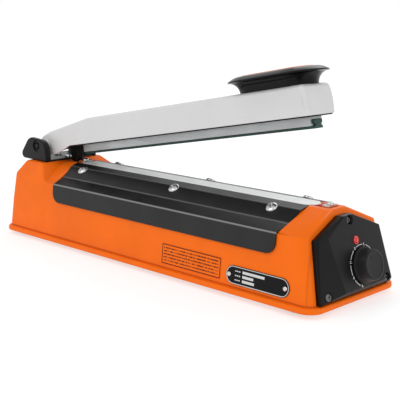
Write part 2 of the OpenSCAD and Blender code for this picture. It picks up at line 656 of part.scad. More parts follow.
// Cord entry in the hinge end: an empty gland
module cord_gland() at_base() color("black") translate([0, gland_y, gland_z]) rotate([0, 90, 0]) difference() {
  union() {
    translate([0, 0, 0.3]) cylinder(r = 6, h = 2.2);
    translate([0, 0, 2]) cylinder(r = 4.5, h = 10);
  }
  translate([0, 0, -cut]) cylinder(r = 3.2, h = 20);
}
module gland_nut() at_base() color("black") translate([7, gland_y, gland_z]) rotate([0, 90, 0])
  ring(6.5, 4.53, 3);

// Stadium-shaped plate on the front wall, held by two rivets
module name_plate() at_base() color("black") on_front_wall(badge_x, badge_z) difference() {
  translate([0, 0, 0.05]) linear_extrude(0.6) {
    square([badge_l - badge_h, badge_h], center = true);
    for (x = [-1, 1]) translate([x * (badge_l - badge_h) / 2, 0]) circle(badge_h / 2);
  }
  for (x = rivet_x) translate([x - badge_x, 0, -cut]) cylinder(r = 1.05, h = 4);
}
module plate_rivets() at_base() color("silver") for (x = rivet_x) on_front_wall(x, badge_z) {
  translate([0, 0, 0.67]) cylinder(r1 = 1.5, r2 = 1, h = 0.5);
  translate([0, 0, -3]) cylinder(r = 1, h = 3.7);
}
module instruction_label() at_base() color("chocolate") on_front_wall(201.6, 15.9)
  translate([-26, -6.7, 0.05]) cube([52, 13.4, 0.15]);

housing();
bottom_plate();
rubber_feet();
foot_screws();
front_side_plate();
rear_side_plate();
front_plate_screws();
rear_plate_screws();
sealing_bar();
insulation_strip();
heating_ribbon();
ptfe_cover();
ribbon_clamps();
clamp_screws();
clamp_sleeves();
hinge_bracket();
bracket_screws();
hinge_cap_front();
hinge_cap_rear();
hinge_pin();
pin_clips();
return_spring();
arm_channel();
arm_liner();
hinge_bushes();
bar_brackets();
bar_studs();
pressing_bar();
rubber_strip();
switch_leg();
handle();
handle_inlay();
handle_screws();
end_cover();
cover_screws();
lamp_lens();
lamp_body();
timer_control();
control_nut();
timer_knob();
knob_shaft();
timer_board();
board_posts();
transformer_core();
transformer_coil();
transformer_screws();
micro_switch();
switch_button();
switch_screws();
cord_gland();
gland_nut();
name_plate();
plate_rivets();
instruction_label();
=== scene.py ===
"""Looks of a hand-operated impulse heat sealer, built over its CAD frame."""
import math
from functools import partial
import bmesh
import bpy
from bpy.props import FloatProperty, FloatVectorProperty, IntProperty, PointerProperty
from mathutils import Matrix, Vector


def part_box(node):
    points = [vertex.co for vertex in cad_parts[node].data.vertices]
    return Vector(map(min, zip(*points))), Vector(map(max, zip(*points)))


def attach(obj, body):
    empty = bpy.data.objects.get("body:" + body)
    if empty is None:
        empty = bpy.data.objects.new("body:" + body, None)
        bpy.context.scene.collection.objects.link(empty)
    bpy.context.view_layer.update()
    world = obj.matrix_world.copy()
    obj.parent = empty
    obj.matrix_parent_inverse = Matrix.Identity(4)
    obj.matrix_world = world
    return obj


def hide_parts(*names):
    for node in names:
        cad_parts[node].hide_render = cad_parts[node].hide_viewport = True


bl_info = {
    "name": "Impulse heat sealer",
    "version": (1, 0, 0),
    "blender": (4, 5, 0),
    "location": "3D View > Sidebar > Sealer",
    "description": "Builds the looks of a hand-operated impulse heat sealer over its CAD frame",
    "category": "Object",
}

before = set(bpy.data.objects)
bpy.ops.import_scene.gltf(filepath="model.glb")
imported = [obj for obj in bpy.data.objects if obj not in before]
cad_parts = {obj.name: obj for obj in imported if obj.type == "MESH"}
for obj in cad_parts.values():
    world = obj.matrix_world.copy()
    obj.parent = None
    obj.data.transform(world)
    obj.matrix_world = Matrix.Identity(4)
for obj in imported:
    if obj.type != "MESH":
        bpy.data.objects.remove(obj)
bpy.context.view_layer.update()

# Millimetres are used throughout; meshes are written in metres.
MM = 0.001
TO_METRES = Matrix.Diagonal((MM, MM, MM, 1))
STATION_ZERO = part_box("housing")[0].x / MM
PLATE_LINE = [(7.4, 56.24), (15.0, 54.9), (25.5, 48.2), (37.6, 45.0), (38.85, 32.0)]
PLATE_SCREW_X = (68.4, 164.7, 248.9)
PLATE_LOW = 32.0
FLAP_LEAN = 1.25 / 13
FLAP_CORNER = 7.0
SCREW_FACET = math.atan2(54.9 - 48.2, 25.5 - 15.0)
WALL_LEAN = math.atan2(40.0 - 36.4, 44.5 - 6.5)
PANEL_LEAN = math.radians(13.2)
ARM_OPEN = math.radians(10.2)
CLAMP_X = (49.8, 278.5)
RIVET_X = (235.3, 278.3)
COVER_SCREWS = ((1.0, 43.0), (-27.5, 3.4), (29.0, 3.4))
DIAL = (7.1, 15.0)
LAMP = (3.4, 30.6)
HINGE_X, HINGE_Z = 20.5, 67.5
CAP_FACE_Y = 24.4
ARM_TOP = 15.5
HANDLE_X = 223.8
KNOB_BACK = 4.1
POINTER_TURN = math.radians(205)
COVER_FACE = 3.8


# ---------------------------------------------------------------- frames
def move(x, y, z):
    return Matrix.Translation((x, y, z))


def turn(angle, axis):
    return Matrix.Rotation(angle, 4, axis)


BASE = move(STATION_ZERO, 0, 0)
ARM = BASE @ move(HINGE_X, 0, HINGE_Z) @ turn(-ARM_OPEN, "Y")
PANEL = BASE @ move(298.2, 0, 7.3) @ turn(-PANEL_LEAN, "Y")
DIAL_FRAME = PANEL @ move(0, DIAL[0], DIAL[1]) @ turn(math.pi / 2, "Y")
LAMP_FRAME = PANEL @ move(0, LAMP[0], LAMP[1]) @ turn(math.pi / 2, "Y")


def front_wall(x, z):
    """Frame on the front wall: +X along the base, +Y up the wall, +Z out of it."""
    y = -(40.0 - (z - 6.5) * math.tan(WALL_LEAN))
    return BASE @ move(x, y, z) @ turn(math.pi / 2 - WALL_LEAN, "X")


def on_plate(x, side):
    """Frame on a side plate's screw facet; side is -1 in front and 1 behind."""
    return BASE @ move(x, side * 17.6, 53.25) @ turn(-side * SCREW_FACET, "X")


# ---------------------------------------------------------------- colours and materials
def srgb(red, green, blue):
    """Linear colour of an 8-bit screen colour."""
    def line(v):
        v /= 255
        return v / 12.92 if v <= 0.04045 else ((v + 0.055) / 1.055) ** 2.4
    return (line(red), line(green), line(blue), 1)


def grey(level):
    return srgb(level, level, level)


def feed(tree, node, feeds):
    """Gives a node's inputs their values, or links them to other nodes' sockets."""
    for name, value in feeds.items():
        if isinstance(value, bpy.types.NodeSocket):
            tree.links.new(value, node.inputs[name])
        else:
            node.inputs[name].default_value = value


def add(tree, kind, feeds=None, **properties):
    """A new node with its properties set and its inputs fed."""
    node = tree.nodes.new(kind)
    for name, value in properties.items():
        setattr(node, name, value)
    feed(tree, node, feeds or {})
    return node


def group(name, inputs):
    """A shader node group with float inputs."""
    tree = bpy.data.node_groups.new(name, "ShaderNodeTree")
    for label, value in inputs.items():
        socket = tree.interface.new_socket(name=label, in_out="INPUT", socket_type="NodeSocketFloat")
        socket.default_value = value
    return tree, tree.nodes.new("NodeGroupInput").outputs


def give(tree, **results):
    """Puts named results out of a shader node group."""
    for label in results:
        tree.interface.new_socket(name=label, in_out="OUTPUT", socket_type="NodeSocketFloat")
    add(tree, "NodeGroupOutput", results)


def object_noise(tree, scale, stretch=None, detail=3.0):
    """Noise in the object's own coordinates."""
    place = add(tree, "ShaderNodeTexCoord").outputs["Object"]
    if stretch:
        place = add(tree, "ShaderNodeMapping", {"Vector": place, "Scale": stretch}).outputs["Vector"]
    return add(tree, "ShaderNodeTexNoise", {"Vector": place, "Scale": scale, "Detail": detail}).outputs["Fac"]


def remap(tree, value, low, high, to_low=0.0, to_high=1.0):
    feeds = {"Value": value, "From Min": low, "From Max": high, "To Min": to_low, "To Max": to_high}
    return add(tree, "ShaderNodeMapRange", feeds).outputs["Result"]


def maths(tree, operation, first, second=0.5):
    return add(tree, "ShaderNodeMath", {0: first, 1: second}, operation=operation).outputs[0]


def split(tree, vector):
    return add(tree, "ShaderNodeSeparateXYZ", {"Vector": vector}).outputs


def surface_facts(tree):
    return add(tree, "ShaderNodeNewGeometry").outputs


def make_groups():
    """Shared surface effects, each giving masks and heights only."""
    tree, given = group("moulded_grain", {"Scale": 2400.0})
    fine = object_noise(tree, given["Scale"], detail=2.0)
    give(tree, Height=fine, Tint=remap(tree, object_noise(tree, 38.0), 0.35, 0.65))
    tree, given = group("brushed_lines", {"Scale": 1.0})
    lines = object_noise(tree, given["Scale"], (14, 1900, 1900), 4.0)
    broad = object_noise(tree, 60.0, (0.4, 3, 3))
    both = maths(tree, "ADD", maths(tree, "MULTIPLY", lines, 0.6), maths(tree, "MULTIPLY", broad, 0.4))
    give(tree, Height=lines, Tint=remap(tree, both, 0.35, 0.65))
    tree, given = group("edge_wear", {"Amount": 1.0})
    edge = remap(tree, surface_facts(tree)["Pointiness"], 0.53, 0.62)
    worn = maths(tree, "MULTIPLY", edge, remap(tree, object_noise(tree, 260.0), 0.45, 0.65))
    give(tree, Mask=maths(tree, "MULTIPLY", worn, given["Amount"]))
    tree, given = group("settled_dust", {"Amount": 1.0})
    up = remap(tree, split(tree, surface_facts(tree)["Normal"])["Z"], 0.55, 1.0)
    dust = maths(tree, "MULTIPLY", up, remap(tree, object_noise(tree, 420.0, detail=6.0), 0.5, 0.8))
    give(tree, Mask=maths(tree, "MULTIPLY", dust, given["Amount"]))
    tree, given = group("finger_marks", {"Low": 0.3, "High": 0.4})
    smears = object_noise(tree, 55.0, detail=5.0)
    give(tree, Roughness=remap(tree, smears, 0.3, 0.7, given["Low"], given["High"]))


def use_group(tree, name, **values):
    return add(tree, "ShaderNodeGroup", values, node_tree=bpy.data.node_groups[name]).outputs


def mix(tree, factor, first, second):
    feeds = {"Factor": factor, "A": first, "B": second}
    return add(tree, "ShaderNodeMix", feeds, data_type="RGBA").outputs["Result"]


def surface(name, colour, rough, texture="moulded_grain", scale=2400.0, bump=0.1, metal=0.0, coat=0.0,
            spread=0.08, wear=0.0, wear_colour=None, dust=0.03, specular=0.5, depth=0.00005, extra=None):
    """A procedural finish: tinted colour, uneven gloss, grain or brushing, worn edges and dust."""
    material = bpy.data.materials.new("finish_" + name)
    material.use_nodes = True
    tree = material.node_tree
    pattern = use_group(tree, texture, Scale=scale)
    darker = tuple(c * (1 - spread) for c in colour[:3]) + (1,)
    lighter = tuple(min(1.0, c * (1 + spread)) for c in colour[:3]) + (1,)
    base = mix(tree, pattern["Tint"], darker, lighter)
    if wear:
        base = mix(tree, use_group(tree, "edge_wear", Amount=wear)["Mask"], base, wear_colour)
    if dust:
        base = mix(tree, use_group(tree, "settled_dust", Amount=dust)["Mask"], base, srgb(190, 186, 178))
    if extra:
        base = extra(tree, base)
    relief = add(tree, "ShaderNodeBump", {"Strength": bump, "Distance": depth, "Height": pattern["Height"]})
    feed(tree, tree.nodes["Principled BSDF"], {
        "Base Color": base, "Metallic": metal, "Coat Weight": coat, "Coat Roughness": 0.12,
        "Specular IOR Level": specular, "Normal": relief.outputs["Normal"],
        "Roughness": use_group(tree, "finger_marks", Low=rough[0], High=rough[1])["Roughness"],
    })
    return material


def finish(name):
    return bpy.data.materials["finish_" + name]


def uv_line(tree, axis):
    """The own UV map's coordinate along one axis, in millimetres."""
    uv = add(tree, "ShaderNodeUVMap", uv_map="print").outputs["UV"]
    return maths(tree, "MULTIPLY", split(tree, uv)[axis], 100.0)


def label_lines(tree, base):
    """Thin frame and rows of unreadable dashes, printed over the label's ground."""
    sums = partial(maths, tree)
    across = uv_line(tree, "X")
    up = uv_line(tree, "Y")
    half_l, half_h, line = 25.4, 6.1, 0.34
    near_x = sums("SUBTRACT", sums("ABSOLUTE", across), half_l)
    near_y = sums("SUBTRACT", sums("ABSOLUTE", up), half_h)
    edge = sums("ABSOLUTE", sums("MAXIMUM", near_x, near_y))
    rim = sums("LESS_THAN", edge, line)
    wrapped = sums("PINGPONG", sums("ADD", up, 20.0), 1.0)
    row = sums("LESS_THAN", wrapped, 0.42)
    step = sums("FLOOR", sums("MULTIPLY", sums("ADD", up, 21.0), 0.5))
    place = {"X": sums("MULTIPLY", across, 1.7), "Y": sums("MULTIPLY", step, 7.3)}
    place = add(tree, "ShaderNodeCombineXYZ", place).outputs["Vector"]
    feeds = {"Scale": 1.0, "Detail": 2.0, "Vector": place}
    noise = add(tree, "ShaderNodeTexNoise", feeds, noise_dimensions="2D")
    words = sums("GREATER_THAN", noise.outputs["Fac"], 0.44)
    inner = sums("LESS_THAN", sums("MAXIMUM", near_x, near_y), -1.1)
    text = sums("MULTIPLY", sums("MULTIPLY", row, words), inner)
    ink = sums("MAXIMUM", rim, text)
    return mix(tree, ink, base, srgb(98, 30, 12))


def object_mm(tree):
    """The object's own coordinates as separate sockets, in millimetres."""
    sides = split(tree, add(tree, "ShaderNodeTexCoord").outputs["Object"])
    return [maths(tree, "MULTIPLY", sides[axis], 1000.0) for axis in "XYZ"]


def plate_painted_shade_and_highlights(tree, base):
    """Painted shade sets each facet's depth of black; painted highlights lie along the folds."""
    sums = partial(maths, tree)
    _, y, z = object_mm(tree)
    y = sums("ABSOLUTE", y)
    # Painted shade: each facet's black is darkened by how much light it would catch
    facet_shade_ramp = tree.nodes.new("ShaderNodeValToRGB")
    facet_shade_ramp.color_ramp.interpolation = "CONSTANT"
    stops = ((0.0, 0.45), (15.0, 0.95), (25.5, 0.42), (37.3, 1.0))
    for (position, value), element in zip(stops, [facet_shade_ramp.color_ramp.elements[0], facet_shade_ramp.color_ramp.elements[1],
                                                  facet_shade_ramp.color_ramp.elements.new(0.6),
                                                  facet_shade_ramp.color_ramp.elements.new(0.9)]):
        element.position = position / 40
        element.color = (value, value, value, 1)
    tree.links.new(sums("MULTIPLY", y, 1 / 40), facet_shade_ramp.inputs["Fac"])
    base = mix(tree, facet_shade_ramp.outputs["Color"], grey(6), base)
    painted_fold_highlight = None
    # Painted highlights: a lighter grey along each fold, where the bend would catch light
    for fold_y, fold_z, strength in ((15.0, 54.9, 0.35), (25.5, 48.2, 0.4), (37.6, 45.0, 0.95)):
        away_y = sums("POWER", sums("SUBTRACT", y, fold_y), 2.0)
        away_z = sums("POWER", sums("SUBTRACT", z, fold_z), 2.0)
        away = sums("SQRT", sums("ADD", away_y, away_z))
        painted_light_mask = remap(tree, away, 0.95, 0.45, 0.0, strength)
        painted_fold_highlight = painted_light_mask if painted_fold_highlight is None else sums("MAXIMUM", painted_fold_highlight, painted_light_mask)
    return mix(tree, painted_fold_highlight, base, grey(128))


def cover_painted_facet_shade(tree, base):
    """Painted shade: the cover's angled facet is a deeper black than its raised face."""
    slanted_painted_shade = remap(tree, split(tree, surface_facts(tree)["Normal"])["Y"], -0.05, -0.1, 0.0, 0.85)
    return mix(tree, slanted_painted_shade, base, grey(4))


def flange_painted_shade_lines(tree, base):
    """Painted shade: a dark line where the walls meet the flange, a faint one where they turn to the dial's
    end.
    """
    sums = partial(maths, tree)
    x, _, z = object_mm(tree)
    # Painted shade in the corner along the foot of the walls
    line = remap(tree, sums("ABSOLUTE", sums("SUBTRACT", z, 6.95)), 0.5, 0.15, 0.0, 0.55)
    # Painted shade in a thin upright line near the end corner of the walls
    lean = sums("MULTIPLY", sums("SUBTRACT", 44.0, z), 0.109)
    away = sums("ABSOLUTE", sums("SUBTRACT", x, sums("ADD", lean, STATION_ZERO + 289)))
    painted_crease_shade = remap(tree, away, 0.6, 0.2, 0.0, 0.22)
    on_wall = sums("MULTIPLY", sums("GREATER_THAN", z, 7.5), sums("LESS_THAN", z, 43.5))
    painted_light_mask = sums("MAXIMUM", line, sums("MULTIPLY", painted_crease_shade, on_wall))
    return mix(tree, painted_light_mask, base, srgb(120, 44, 12))


def make_materials(settings):
    """One procedural material for each material slot of the record."""
    make_groups()
    grain = settings.grain
    orange = tuple(settings.housing_colour)
    # The housing carries painted shade lines at the flange and near its end corner
    surface("housing_moulding", orange, (0.34, 0.46), bump=grain, spread=0.04, dust=0.01,
            specular=0.12, extra=flange_painted_shade_lines)
    surface("label_print", srgb(236, 106, 12), (0.4, 0.5), bump=0.04, spread=0.03, dust=0.01, specular=0.12,
            extra=label_lines)
    surface("black_sheet", grey(34), (0.26, 0.38), bump=0.12, spread=0.1, wear=0.5,
            wear_colour=grey(110), dust=0.02, specular=0.16)
    # The side plates carry painted facet shade and painted fold highlights
    surface("plate_sheet", grey(40), (0.26, 0.38), bump=0.12, spread=0.1, dust=0.02, specular=0.16,
            extra=plate_painted_shade_and_highlights)
    surface("black_moulding", srgb(22, 22, 23), (0.3, 0.42), bump=grain, spread=0.12, dust=0.02,
            specular=0.16)
    surface("handle_moulding", grey(8), (0.16, 0.24), bump=0.06, spread=0.1, dust=0.0, specular=0.14)
    # The cover carries painted shade on its angled facet
    surface("cover_moulding", srgb(24, 24, 25), (0.3, 0.42), bump=grain, spread=0.12, dust=0.02,
            specular=0.16, extra=cover_painted_facet_shade)
    surface("knob_moulding", srgb(26, 26, 27), (0.32, 0.44), bump=grain, spread=0.12, dust=0.02, specular=0.2)
    surface("grey_moulding", srgb(120, 122, 124), (0.4, 0.5), bump=grain)
    surface("arm_paint", tuple(settings.arm_colour), (0.3, 0.4), bump=0.06, coat=0.35, spread=0.02, dust=0.02)
    surface("bar_aluminium", srgb(172, 174, 175), (0.28, 0.42), "brushed_lines", 1.0, 0.12, 0.9, spread=0.1)
    surface("zinc_sheet", srgb(178, 182, 186), (0.3, 0.45), "brushed_lines", 1.0, 0.12, 0.95, spread=0.12)
    surface("bright_steel", grey(205), (0.14, 0.26), "brushed_lines", 1.0, 0.05, 1.0, spread=0.08, dust=0.0)
    surface("bush_nylon", srgb(196, 196, 192), (0.4, 0.5), bump=0.1)
    surface("cover_screw_steel", grey(104), (0.2, 0.3), "brushed_lines", 1.0, 0.05, 1.0, dust=0.0)
    surface("core_steel", srgb(92, 94, 98), (0.4, 0.6), "brushed_lines", 1.0, 0.4, 0.8)
    surface("coil_varnish", srgb(134, 62, 26), (0.25, 0.4), "brushed_lines", 1.0, 0.6, coat=0.4)
    surface("board_laminate", srgb(26, 92, 44), (0.35, 0.5), bump=0.1, coat=0.2)
    surface("silicone_rubber", srgb(40, 68, 63), (0.55, 0.7), bump=0.15, specular=0.35)
    surface("foot_rubber", grey(28), (0.6, 0.75), bump=0.25, specular=0.3)
    surface("glass_cloth", srgb(222, 222, 214), (0.6, 0.75), bump=0.3, scale=3200.0)
    surface("ptfe_film", srgb(226, 228, 228), (0.34, 0.46), bump=0.35, scale=1500.0, spread=0.04,
            depth=0.0001)
    surface("ribbon_alloy", srgb(168, 150, 132), (0.25, 0.4), "brushed_lines", 1.0, 0.2, 1.0)
    surface("red_sleeve", srgb(178, 40, 32), (0.5, 0.65), bump=0.3)
    surface("red_lens", srgb(206, 22, 14), (0.1, 0.18), bump=0.03, coat=0.6, dust=0.0)
    surface("orange_inlay", orange, (0.35, 0.45), bump=grain, spread=0.04, specular=0.12)
    surface("plate_enamel", srgb(14, 14, 16), (0.2, 0.3), bump=0.04, spread=0.1, dust=0.0, specular=0.12)
    surface("dial_ink", srgb(232, 232, 230), (0.45, 0.55), bump=0.05, spread=0.05, dust=0.0)
    floor = surface("stage_floor", grey(180), (0.8, 0.9), bump=0.02, scale=40.0, spread=0.006,
                    dust=0.0, specular=0.1)
    glow = floor.node_tree.nodes["Principled BSDF"]
    feed(floor.node_tree, glow, {"Emission Color": (1, 1, 1, 1), "Emission Strength": 0.6})


# ---------------------------------------------------------------- mesh helpers
def new_object(name, mesh):
    thing = bpy.data.objects.new(name, mesh)
    bpy.context.scene.collection.objects.link(thing)
    return thing


def from_bmesh(name, bm, place=None):
    """Writes a bmesh drawn in millimetres as an object in metres, with outward normals."""
    if place is not None:
        bmesh.ops.transform(bm, matrix=place, verts=bm.verts)
    bmesh.ops.scale(bm, vec=(MM, MM, MM), verts=bm.verts)
    bmesh.ops.recalc_face_normals(bm, faces=bm.faces)
    mesh = bpy.data.meshes.new(name)
    bm.to_mesh(mesh)
    bm.free()
    return new_object(name, mesh)


def settle(thing):
    """Makes the evaluated result the object's own mesh and drops its modifiers."""
    depsgraph = bpy.context.evaluated_depsgraph_get()
    mesh = bpy.data.meshes.new_from_object(thing.evaluated_get(depsgraph), depsgraph=depsgraph)
    mesh.name = thing.name
    old = thing.data
    thing.modifiers.clear()
    thing.data = mesh
    bpy.data.meshes.remove(old)
    return thing


def shade(thing, angle=38):
    """Smooth shading split at sharp edges, with flat faces kept flat."""
    thing.data.shade_smooth()
    thing.data.set_sharp_from_angle(angle=math.radians(angle))
    weigh = thing.modifiers.new("weigh", "WEIGHTED_NORMAL")
    weigh.keep_sharp = True
    return settle(thing)


def round_edges(thing, width, segments=3, angle=30):
    bevel = thing.modifiers.new("round", "BEVEL")
    bevel.width = width * MM
    bevel.segments = segments
    bevel.limit_method = "ANGLE"
    bevel.angle_limit = math.radians(angle)
    bevel.miter_outer = "MITER_ARC"
    return settle(thing)


def dress(thing, material, body, nodes=()):
    """Gives a finished piece its material and body, and hides the CAD nodes that it stands for."""
    thing.data.materials.clear()
    thing.data.materials.append(finish(material))
    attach(thing, body)
    if nodes:
        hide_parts(*nodes)
    return thing


def piece(angle, material, body, name, bm, place=None, nodes=()):
    """A finished piece from a bmesh: smooth up to the angle, with its material and body."""
    return dress(shade(from_bmesh(name, bm, place), angle), material, body, nodes)


def cad_copy(node):
    """A CAD node's mesh, welded and with its flat faces joined, in millimetres."""
    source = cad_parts[node]
    bm = bmesh.new()
    bm.from_mesh(source.data)
    bmesh.ops.transform(bm, matrix=source.matrix_world, verts=bm.verts)
    bmesh.ops.scale(bm, vec=(1 / MM, 1 / MM, 1 / MM), verts=bm.verts)
    bmesh.ops.remove_doubles(bm, verts=bm.verts, dist=0.004)
    bmesh.ops.dissolve_degenerate(bm, dist=0.003, edges=bm.edges)
    bmesh.ops.recalc_face_normals(bm, faces=bm.faces)
    bmesh.ops.dissolve_limit(bm, angle_limit=math.radians(0.8), verts=bm.verts, edges=bm.edges)
    return bm


def soften(bm, place, choose, width, segments=3, angle=15):
    """Rounds the edges that the rule chooses, given their middle in the frame's own millimetres."""
    back = place.inverted()
    chosen = []
    for edge in bm.edges:
        if len(edge.link_faces) != 2 or edge.calc_face_angle(0) < math.radians(angle):
            continue
        if choose(back @ ((edge.verts[0].co + edge.verts[1].co) / 2), edge):
            chosen.append(edge)
    bmesh.ops.bevel(bm, geom=chosen, offset=width, offset_type="OFFSET", segments=segments, profile=0.5,
                    affect="EDGES", clamp_overlap=False, miter_outer="SHARP")
    bmesh.ops.recalc_face_normals(bm, faces=bm.faces)


def soft_node(node, material, body, width=0.3, segments=2, angle=30, name=None):
    """A CAD node's shape with every sharp edge slightly rounded."""
    thing = from_bmesh(name or node + "_soft", cad_copy(node))
    round_edges(thing, width, segments, angle)
    shade(thing)
    return dress(thing, material, body, nodes=(node,))


def lathe(bm, profile, steps=48, place=Matrix()):
    """Turns a profile of (radius, height) points round local Z."""
    rings = []
    for radius, height in profile:
        if radius == 0:
            rings.append([bm.verts.new(place @ Vector((0, 0, height)))])
            continue
        ring = []
        for i in range(steps):
            a = math.tau * i / steps
            ring.append(bm.verts.new(place @ Vector((radius * math.cos(a), radius * math.sin(a), height))))
        rings.append(ring)
    for low, high in zip(rings, rings[1:]):
        skin(bm, low, high)


def skin(bm, low, high):
    """Faces between two closed rings; either may be a single point."""
    count = max(len(low), len(high))
    for i in range(count):
        j = (i + 1) % count
        corners = [low[i % len(low)], low[j % len(low)], high[j % len(high)], high[i % len(high)]]
        kept = []
        for v in corners:
            if v not in kept:
                kept.append(v)
        if len(kept) > 2:
            bm.faces.new(kept)


def oblong_ring(bm, straight, radius, height, steps):
    """A ring round an oblong: two straight runs and two half circles."""
    ring = []
    for side in (0, 1):
        for i in range(steps + 1):
            a = -math.pi / 2 + math.pi * i / steps + side * math.pi
            x = (straight if side == 0 else -straight) + radius * math.cos(a)
            ring.append(bm.verts.new((x, radius * math.sin(a), height)))
    return ring


def oblong(bm, profile, straight, steps=24, close=(True, True)):
    rings = [oblong_ring(bm, straight, r, h, steps) for r, h in profile]
    for low, high in zip(rings, rings[1:]):
        skin(bm, low, high)
    if close[0]:
        bm.faces.new(rings[0])
    if close[1]:
        bm.faces.new(rings[-1])
    return rings


def arc(cx, cz, radius, start, end, steps):
    """Points (radius, height) on an arc, angles in degrees."""
    points = []
    for i in range(steps + 1):
        a = math.radians(start + (end - start) * i / steps)
        points.append((cx + radius * math.cos(a), cz + radius * math.sin(a)))
    return points


def rounded_line(points, radius, steps):
    """A polyline whose inner corners are replaced by short curves."""
    result = [Vector(points[0])]
    for before, here, after in zip(points, points[1:], points[2:]):
        here = Vector(here)
        a = (Vector(before) - here).normalized()
        b = (Vector(after) - here).normalized()
        trim = radius / math.tan(a.angle(b) / 2)
        first = here + a * trim
        last = here + b * trim
        for i in range(steps + 1):
            t = i / steps
            result.append((1 - t) ** 2 * first + 2 * t * (1 - t) * here + t ** 2 * last)
    result.append(Vector(points[-1]))
    return result


def grid_faces(bm, rows):
    for low, high in zip(rows, rows[1:]):
        for i in range(len(low) - 1):
            bm.faces.new((low[i], low[i + 1], high[i + 1], high[i]))


def prism(bm, outline, low, high, place=Matrix()):
    """A straight prism on an outline of (x, y) points."""
    bottom = [bm.verts.new(place @ Vector((x, y, low))) for x, y in outline]
    top = [bm.verts.new(place @ Vector((x, y, high))) for x, y in outline]
    skin(bm, bottom, top)
    bm.faces.new(bottom)
    bm.faces.new(top)


# ---------------------------------------------------------------- geometry node trees
def tree_base(name, **labels):
    """A geometry node tree with the given inputs beside its geometry."""
    tree = bpy.data.node_groups.new(name, "GeometryNodeTree")
    tree.interface.new_socket(name="Geometry", in_out="INPUT", socket_type="NodeSocketGeometry")
    for label, kind in labels.items():
        tree.interface.new_socket(name=label, in_out="INPUT", socket_type="NodeSocket" + kind)
    tree.interface.new_socket(name="Geometry", in_out="OUTPUT", socket_type="NodeSocketGeometry")
    return tree, tree.nodes.new("NodeGroupInput").outputs


def end_tree(tree, given, result):
    real = add(tree, "GeometryNodeRealizeInstances", {"Geometry": result}).outputs["Geometry"]
    paint = add(tree, "GeometryNodeSetMaterial", {"Geometry": real, "Material": given["Material"]})
    add(tree, "NodeGroupOutput", {"Geometry": paint.outputs["Geometry"]})


def make_trees():
    """scatter: a part on each point along its axis. wire: a round wire along a path."""
    tree, given = tree_base("scatter", Part="Object", Spread="Float", Seed="Int", Material="Material")
    info = add(tree, "GeometryNodeObjectInfo", {"Object": given["Part"]}, transform_space="ORIGINAL")
    axis = add(tree, "GeometryNodeInputNamedAttribute", {"Name": "axis"}, data_type="FLOAT_VECTOR")
    align = add(tree, "FunctionNodeAlignRotationToVector", {"Vector": axis.outputs["Attribute"]}, axis="Z")
    chance = add(tree, "FunctionNodeRandomValue", {"Seed": given["Seed"]}, data_type="FLOAT")
    angle = maths(tree, "MULTIPLY", chance.outputs[1], given["Spread"])
    about = add(tree, "FunctionNodeAxisAngleToRotation", {"Axis": (0, 0, 1), "Angle": angle})
    turns = {"Rotation": align.outputs["Rotation"], "Rotate By": about.outputs["Rotation"]}
    rotate = add(tree, "FunctionNodeRotateRotation", turns, rotation_space="LOCAL")
    place = add(tree, "GeometryNodeInstanceOnPoints", {
        "Points": given["Geometry"], "Instance": info.outputs["Geometry"],
        "Rotation": rotate.outputs["Rotation"]})
    end_tree(tree, given, place.outputs["Instances"])
    tree, given = tree_base("wire", Radius="Float", Sides="Int", Material="Material")
    path = add(tree, "GeometryNodeMeshToCurve", {"Mesh": given["Geometry"]}).outputs["Curve"]
    ring = add(tree, "GeometryNodeCurvePrimitiveCircle", {
        "Resolution": given["Sides"], "Radius": given["Radius"]}).outputs["Curve"]
    sweep = add(tree, "GeometryNodeCurveToMesh", {"Curve": path, "Profile Curve": ring, "Fill Caps": True})
    end_tree(tree, given, sweep.outputs["Mesh"])


def run_tree(thing, tree_name, **values):
    """Runs a node tree on an object with its named inputs and keeps the result as its mesh."""
    modifier = thing.modifiers.new("build", "NODES")
    modifier.node_group = bpy.data.node_groups[tree_name]
    for item in modifier.node_group.interface.items_tree:
        if item.item_type == "SOCKET" and item.in_out == "INPUT" and item.name in values:
            modifier[item.identifier] = values[item.name]
    return settle(thing)


def scatter(name, part, spots, material, seed):
    """Sets a part on every spot, each turned at random about its own axis, as one joined object."""
    mesh = bpy.data.meshes.new(name)
    mesh.from_pydata([spot.translation * MM for spot in spots], [], [])
    axes = mesh.attributes.new("axis", "FLOAT_VECTOR", "POINT")
    for item, spot in zip(axes.data, spots):
        item.vector = spot.to_3x3() @ Vector((0, 0, 1))
    thing = new_object(name, mesh)
    run_tree(thing, "scatter", Part=part, Spread=math.tau, Seed=seed, Material=finish(material))
    if "axis" in thing.data.attributes:
        thing.data.attributes.remove(thing.data.attributes["axis"])
    return shade(thing)


